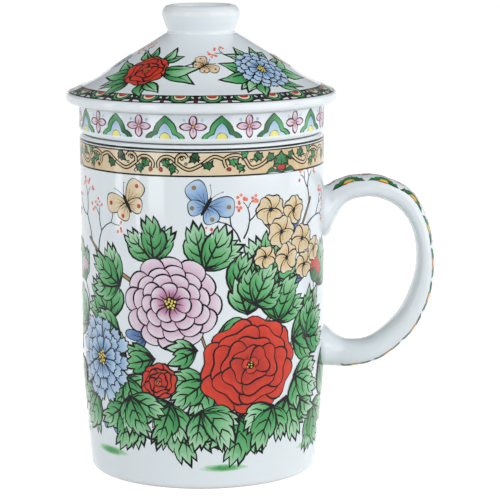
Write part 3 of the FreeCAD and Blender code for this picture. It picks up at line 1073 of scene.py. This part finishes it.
def lidEdge(sheet):
    sheet["bend"] = roundLid
    length = 2 * math.pi * lidBorder["middle"]
    outer, inner, line, pieces = (lidBorder[key] for key in ("outer", "inner", "line", "pieces"))
    for k in range(pieces):
        a, b = length * k / pieces, length * (k + 1) / pieces
        lay(sheet, box(a, b, outer - line, outer), "black")
        lay(sheet, box(a, b, inner, inner + line * 0.8), "black")
        lay(sheet, box(a, b, inner + line * 0.8, inner + line * 1.3), "green", 0.05)
    repeat = length / lidBorder["repeats"]
    half = repeat / 2
    sides = (([2.2 + 1.1j, half + 1.6j, half + 2.2j, 2.0 + 2.7j], "black", 0.5),
             ([2.4 + 0.3j, half - 0.5 + 1.3j, 2.4 + 1.9j], "green", 0.1),
             ([half - 0.2j, half - 1.5 - 0.2j, half + 1.3j], "black", 0.5))
    for k in range(lidBorder["repeats"]):
        at = complex(math.radians(lidBorder["phase"]) * lidBorder["middle"] + k * repeat, inner + line)
        for side in (-1, 1):
            for shape, ink, tone in sides:
                lay(sheet, [at + complex(side * p.real, p.imag) for p in shape], ink, tone)
        lay(sheet, [at + p for p in box(half - 0.6, half + 0.6, -0.2, 3.7)], "black")
        lay(sheet, [at + p for p in box(half - 0.3, half + 0.3, 1.9, 3.1)], "red", 0.05)
        for wide, tall, ink, tone in lidBorder["moons"]:
            lay(sheet, moon(at, wide, tall), ink, tone)


def lidArt(sheet):
    lidEdge(sheet)
    for bloomInk, turn in sprays["turns"].items():
        sheet["bend"] = onSlope(turn, sprays["radius"])
        stroke(sheet, sprays["stem"], 0.7, 0.4)
        strew(sheet, leafFan, [fan + sprays["leaf"] for fan in sprays["fans"]])
        bud(sheet, 12.5 + 7.5j, 35, 3.8, "pink" if bloomInk == "red" else "red")
        sprig(sheet, -6 + 8j, 118, 3.4, depth=2)
        if bloomInk == "red":
            camellia(sheet, 1j, 8.6, 15, 0.95, 1)
        elif bloomInk == "blue":
            aster(sheet, 1j, 8.8, 0.95)
        elif bloomInk == "pink":
            dahlia(sheet, 1j, 8.6, 0.95)
        else:
            for p in sprays["blossoms"]:
                blossom(sheet, p, 4.0, 30 * p.real)
    for turn, radius, towards, ink in sprays["butterflies"]:
        sheet["bend"] = onSlope(turn, radius)
        butterfly(sheet, 0j, towards, 4.6, ink, 0.5, 0.9, "red")


rim = [lidBorder["sheet"] * unit(360 * k / lidBorder["sheetSides"]) for k in range(lidBorder["sheetSides"])]
lidSheet = newSheet("lidPrint", rim, onLid, lidBorder["grid"])
lidArt(lidSheet)
fire(lidSheet, "lid")


# the handle's outer face: a centre line with rosettes, and lappets along both edges
strapPrint = {"repeat": 11.6, "start": 2.2, "end": 4.0, "edge": 5.6, "half": 6.2, "past": 2, "grid": 0.6,
              "step": 0.08, "flat": 0.999, "moon": (1.6, 1.25, 8),
              "tooth": [-4.7, -4.0 + 0.95j, -3.1 + 0.8j, -2.4 + 2.0j, -1.6 + 2.0j, -0.8 + 3.1j, 3.4j,
                        0.8 + 3.1j, 1.6 + 2.0j, 2.4 + 2.0j, 3.1 + 0.8j, 4.0 + 0.95j, 4.7, 2.2 + 0.1j,
                        1.7 + 1.0j, 1.7j, -1.7 + 1.0j, -2.2 + 0.1j]}


def strapRows():
    rows = []
    walked = 0.0
    outer, inner = strapLine("outer"), strapLine("inner")
    for k, (a, b) in enumerate(zip(outer, inner)):
        if k:
            walked += (a - outer[k - 1]).length
        rows.append((walked, (a + b) / 2, (a - b) / 2))
    return rows


strapPath = strapRows()


def strapSpot(x, y):
    for (w1, m1, h1), (w2, m2, h2) in zip(strapPath, strapPath[1:]):
        if w1 <= x <= w2:
            share = (x - w1) / (w2 - w1)
            middle, half = m1.lerp(m2, share), h1.lerp(h2, share)
            side = min(strapPrint["flat"], abs(y / (strapWidth(middle.x) / 2)))
            spot = middle + half * (1 - side ** strap["power"]) ** (1 / strap["power"])
            return Vector((spot.x, y, spot.y))
    return Vector((mugR, y, strapHigh))


def onStrap(x, y):
    step = strapPrint["step"]
    along = strapSpot(x + step, y) - strapSpot(x - step, y)
    across = strapSpot(x, y + step) - strapSpot(x, y - step)
    return strapSpot(x, y), along.cross(across).normalized()


def strapArt(sheet, start, end):
    count = round((end - start) / strapPrint["repeat"])
    repeat = (end - start) / count
    wide, tall, steps = strapPrint["moon"]
    stroke(sheet, [start, (start + end) / 2, end], 0.8, 0.8, "red", 0.03, 40)
    for k in range(count):
        for side in (-1, 1):
            edge = complex(start + repeat * (k + 0.5), side * strapPrint["edge"])
            shape = [edge + complex(p.real, -side * p.imag) for p in strapPrint["tooth"]]
            outlined(sheet, shape, "green", 0.34, 0.26)
            tone = fade(sheet, edge, edge - side * 1j, 0.0, 0.2)
            outlined(sheet, moon(edge, wide, -side * tall, steps), "cream", tone, 0.18, "red", 0.1)
        spot = complex(start + repeat * k, 0)
        for j in range(6):
            outlined(sheet, petal(spot, unit(60 * j), 1.75, 1.2, 0.6, 0.8, 6), "pink", 0.2, 0.24, "red", 0.02)
        dot(sheet, spot, 0.35, "red", 0.1, sides=7)


strapStart = next(w for w, m, h in strapPath if (m + h).x > mugR + strapPrint["start"])
strapStop = max(w for w, m, h in strapPath if (m + h).x > mugR + strapPrint["end"])
strapSheet = newSheet("strapPrint", box(strapStart - strapPrint["past"], strapStop + strapPrint["past"],
                                        -strapPrint["half"], strapPrint["half"]), onStrap, strapPrint["grid"])
strapArt(strapSheet, strapStart, strapStop)
fire(strapSheet, "mug")




# enamels: each runs from its deep tone to its pale one
inkTones = {"black": [(0.0, (0.004, 0.005, 0.006)), (1.0, (0.02, 0.02, 0.02))],
            "green": [(0.0, (0.004, 0.045, 0.016)), (0.25, (0.012, 0.17, 0.045)),
                      (0.45, (0.035, 0.32, 0.085)), (0.65, (0.13, 0.47, 0.18)), (0.85, (0.42, 0.70, 0.46)),
                      (1.0, (0.70, 0.83, 0.75))],
            "red": [(0.0, (0.11, 0.005, 0.010)), (0.25, (0.40, 0.014, 0.008)), (0.5, (0.68, 0.040, 0.012)),
                    (0.7, (0.78, 0.075, 0.026)), (0.85, (0.86, 0.22, 0.11)), (1.0, (0.9, 0.45, 0.32))],
            "pink": [(0.0, (0.30, 0.06, 0.16)), (0.25, (0.60, 0.28, 0.46)), (0.55, (0.74, 0.54, 0.67)),
                     (1.0, (0.85, 0.80, 0.86))],
            "blue": [(0.0, (0.022, 0.052, 0.18)), (0.25, (0.11, 0.24, 0.50)), (0.6, (0.28, 0.46, 0.70)),
                     (1.0, (0.62, 0.76, 0.88))],
            "cream": [(0.0, (0.72, 0.20, 0.03)), (0.12, (0.86, 0.66, 0.08)), (0.2, (0.86, 0.80, 0.24)),
                      (0.34, (0.20, 0.11, 0.05)), (0.5, (0.56, 0.39, 0.18)), (0.7, (0.72, 0.57, 0.34)),
                      (1.0, (0.85, 0.78, 0.62))]}
enamel = {"blackIor": 1.25, "ior": 1.4, "pools": 520, "detail": 3, "depth": 0.35, "rough": (0.08, 0.2),
          "bump": 0.00003}
noiseRange = (0.3, 0.7)      # the part of a noise value that is stretched over a chosen range


def wire(tree, node, inputs):
    # an input takes a value, or the output of another node
    for label, value in inputs.items():
        if isinstance(value, bpy.types.NodeSocket):
            tree.links.new(value, node.inputs[label])
        else:
            node.inputs[label].default_value = value


def grow(tree, kind, inputs, output=0, **settings):
    # a new shader node, and its output of that name or number
    node = tree.nodes.new("ShaderNode" + kind)
    for key, value in settings.items():
        setattr(node, key, value)
    wire(tree, node, inputs)
    return node.outputs[output]


def noise(tree, scale, detail):
    place = grow(tree, "TexCoord", {}, "Object")
    return grow(tree, "TexNoise", {"Vector": place, "Scale": scale, "Detail": detail}, "Fac")


def spread(tree, value, low, high):
    return grow(tree, "MapRange", {"Value": value, "From Min": noiseRange[0], "From Max": noiseRange[1],
                                   "To Min": low, "To Max": high}, "Result")


def effectGroup(name, inputs):
    # a node group that gives a colour, a roughness and a bump height
    tree = bpy.data.node_groups.new(name, "ShaderNodeTree")
    for label, (kind, value) in inputs.items():
        socket = tree.interface.new_socket(label, in_out="INPUT", socket_type="NodeSocket" + kind)
        socket.default_value = value
    for label, kind in (("Colour", "Color"), ("Roughness", "Float"), ("Height", "Float")):
        tree.interface.new_socket(label, in_out="OUTPUT", socket_type="NodeSocket" + kind)
    return tree, tree.nodes.new("NodeGroupInput").outputs, tree.nodes.new("NodeGroupOutput")


def enamelGroup():
    # hand-laid enamel: small pools of deeper and thinner colour, and a gloss that varies with them
    tree, given, put = effectGroup("enamelPools", {"Colour": ("Color", (0.5, 0.5, 0.5, 1)),
                                                   "Depth": ("Float", 0.2)})
    pools = noise(tree, enamel["pools"], enamel["detail"])
    shade = grow(tree, "Math", {0: spread(tree, pools, 0.0, 1.0), 1: given["Depth"]}, operation="MULTIPLY")
    deeper = grow(tree, "Mix", {"Factor": shade, "A": given["Colour"], "B": given["Colour"]}, "Result",
                  data_type="RGBA", blend_type="MULTIPLY")
    wire(tree, put, {"Colour": deeper, "Roughness": spread(tree, pools, *enamel["rough"]), "Height": pools})
    return tree


def dressed(stuff, effectTree, effectInputs, ripple, ior):
    # a material whose shader takes its bump from a group; its colour and roughness are wired afterwards
    stuff.use_nodes = True
    tree = stuff.node_tree
    shader = tree.nodes["Principled BSDF"]
    effect = tree.nodes.new("ShaderNodeGroup")
    effect.node_tree = effectTree
    wire(tree, effect, effectInputs)
    bump = grow(tree, "Bump", {"Height": effect.outputs["Height"], "Distance": ripple}, "Normal")
    wire(tree, shader, {"IOR": ior, "Normal": bump, "Base Color": effect.outputs["Colour"],
                        "Roughness": effect.outputs["Roughness"]})
    return tree, shader, effect


def mixEnamel(ink):
    tree, _, effect = dressed(enamels[ink], enamelPools, {"Depth": enamel["depth"]}, enamel["bump"],
                              enamel["blackIor" if ink == "black" else "ior"])
    ramp = tree.nodes.new("ShaderNodeValToRGB")
    stops = ramp.color_ramp.elements
    while len(stops) < len(inkTones[ink]):
        stops.new(0.5)
    for stop, (place, colour) in zip(stops, inkTones[ink]):
        stop.position = place
        stop.color = (*colour, 1)
    wire(tree, ramp, {"Fac": grow(tree, "Attribute", {}, "Fac", attribute_name="tone")})
    wire(tree, effect, {"Colour": ramp.outputs["Color"]})


enamelPools = enamelGroup()
for ink in enamels:
    mixEnamel(ink)
print("enamels mixed")


# porcelain and its glaze, bare on the foot ring
glaze = {"body": (0.785, 0.85, 0.89), "thin": (0.81, 0.85, 0.86), "drift": 0.35, "cloudDetail": 2,
         "rough": (0.05, 0.1), "wave": 180, "waveDetail": 1, "ripple": 0.00002, "ior": 1.5}
footRing = {"bisque": (0.72, 0.69, 0.62), "bare": 0.0003, "glazed": 0.0007, "rough": 0.75}


def glazeGroup():
    tree, given, put = effectGroup("glazeDrift", {"Body": ("Color", (0.8, 0.85, 0.85, 1)),
                                                  "Thin": ("Color", (0.8, 0.8, 0.8, 1)),
                                                  "Edge": ("Float", 0.0), "Scale": ("Float", 60.0)})
    cloud = noise(tree, given["Scale"], glaze["cloudDetail"])
    drift = spread(tree, cloud, 0.0, glaze["drift"])
    both = grow(tree, "Math", {0: drift, 1: given["Edge"]}, operation="MAXIMUM")
    tint = grow(tree, "Mix", {"Factor": both, "A": given["Body"], "B": given["Thin"]}, "Result",
                data_type="RGBA")
    wave = noise(tree, glaze["wave"], glaze["waveDetail"])
    wire(tree, put, {"Colour": tint, "Roughness": spread(tree, cloud, *glaze["rough"]), "Height": wave})
    return tree


glazeDrift = glazeGroup()


def porcelain(name):
    stuff = bpy.data.materials.new(name)
    inputs = {"Body": (*glaze["body"], 1), "Thin": (*glaze["thin"], 1)}
    tree, shader, effect = dressed(stuff, glazeDrift, inputs, glaze["ripple"], glaze["ior"])
    wire(tree, effect, {"Edge": grow(tree, "Attribute", {}, "Fac", attribute_name="edge")})
    return stuff, tree, shader, effect.outputs


def footed(name):
    # porcelain that is left without glaze where it stands
    stuff, tree, shader, effect = porcelain(name)
    place = grow(tree, "TexCoord", {}, "Object")
    height = grow(tree, "SeparateXYZ", {"Vector": place}, "Z")
    bare = grow(tree, "MapRange", {"Value": height, "From Min": footRing["glazed"],
                                   "From Max": footRing["bare"]}, "Result")
    tint = grow(tree, "Mix", {"Factor": bare, "A": effect["Colour"], "B": (*footRing["bisque"], 1)}, "Result",
                data_type="RGBA")
    dull = grow(tree, "Mix", {"Factor": bare, "A": effect["Roughness"], "B": footRing["rough"]}, "Result")
    wire(tree, shader, {"Base Color": tint, "Roughness": dull})
    return stuff


mugGlaze = footed("mugGlaze")
wareGlaze = porcelain("wareGlaze")[0]
mugShell.data.materials.append(mugGlaze)
for piece in (mugHandle, infuserBasket, lidShell, lidKnob):
    piece.data.materials.clear()
    piece.data.materials.append(wareGlaze)
print("glazes mixed")


# soft studio light: a broad softbox right of the ware, tall windows left of it and a pale room
# every lamp is azimuth, distance, width, lower and upper edge and brightness
lamps = {"keyBox": (54, 0.62, 0.62, 0.01, 0.95, 2.1), "sideBox": (104, 0.58, 0.30, 0.01, 0.60, 1.1),
         "leftWindow": (-80, 0.46, 0.065, 0.01, 0.50, 3.0), "slimWindow": (-59, 0.46, 0.035, 0.01, 0.50, 3.2),
         "frontWindow": (-41, 0.52, 0.14, 0.01, 0.50, 3.0), "highWindow": (-24, 0.75, 0.24, 0.70, 0.84, 6.0)}
studio = {"room": 0.27, "roomColour": (0.93, 0.97, 1.0), "floor": 0.80, "floorRough": 0.8, "lift": 0.81,
          "sweep": 5.0, "wall": 1.0, "wallSteps": 8, "floorSteps": 96}


def softbox(name, azimuth, distance, wide, low, high, glow):
    lamp = bpy.data.lights.new(name, "AREA")
    lamp.shape = "RECTANGLE"
    lamp.size = wide
    lamp.size_y = high - low
    lamp.energy = glow * math.pi * wide * (high - low)
    panel = placed(name, lamp)
    panel.visible_camera = False
    turn = math.radians(azimuth)
    panel.location = (math.sin(turn) * distance, -math.cos(turn) * distance, (low + high) / 2)
    panel.rotation_euler = (math.pi / 2, 0, turn)


def seenDirectly(tree):
    # 1 where the background is looked at, mirrored or seen through, 0 where it only lights the ware
    path = tree.nodes.new("ShaderNodeLightPath").outputs
    last = path["Is Camera Ray"]
    for ray in ("Is Glossy Ray", "Is Transmission Ray"):
        last = grow(tree, "Math", {0: last, 1: path[ray]}, operation="MAXIMUM")
    return last


def addRoom():
    world = bpy.data.worlds.new("paleRoom")
    bpy.context.scene.world = world
    world.use_nodes = True
    wire(world.node_tree, world.node_tree.nodes["Background"],
         {"Color": (*studio["roomColour"], 1), "Strength": studio["room"]})


def addFloor():
    # a round white floor that sweeps up to a low wall far behind the ware
    bm = bmesh.new()
    wide, wall = studio["sweep"], studio["wall"]
    profile = [(0, 0), (wide, 0)]
    for k in range(1, studio["wallSteps"] + 1):
        turn = math.pi / 2 / studio["wallSteps"] * k
        profile.append((wide + wall * math.sin(turn), wall * (1 - math.cos(turn))))
    spots = [bm.verts.new((r, 0, z)) for r, z in profile]
    for a, b in zip(spots, spots[1:]):
        bm.edges.new((a, b))
    lathed(bm, studio["floorSteps"])
    floor = placed("floor", meshOf(bm, "floor"))
    stuff = bpy.data.materials.new("paleFloor")
    stuff.use_nodes = True
    tree = stuff.node_tree
    lift = grow(tree, "Math", {0: seenDirectly(tree), 1: studio["lift"]}, operation="MULTIPLY")
    wire(tree, tree.nodes["Principled BSDF"],
         {"Base Color": (*[studio["floor"]] * 3, 1), "Roughness": studio["floorRough"],
          "Emission Color": (1, 1, 1, 1), "Emission Strength": lift})
    floor.data.materials.append(stuff)


for name, plan in lamps.items():
    softbox(name, *plan)
addRoom()
addFloor()
bpy.context.scene.view_settings.view_transform = "Standard"
print("studio lit")
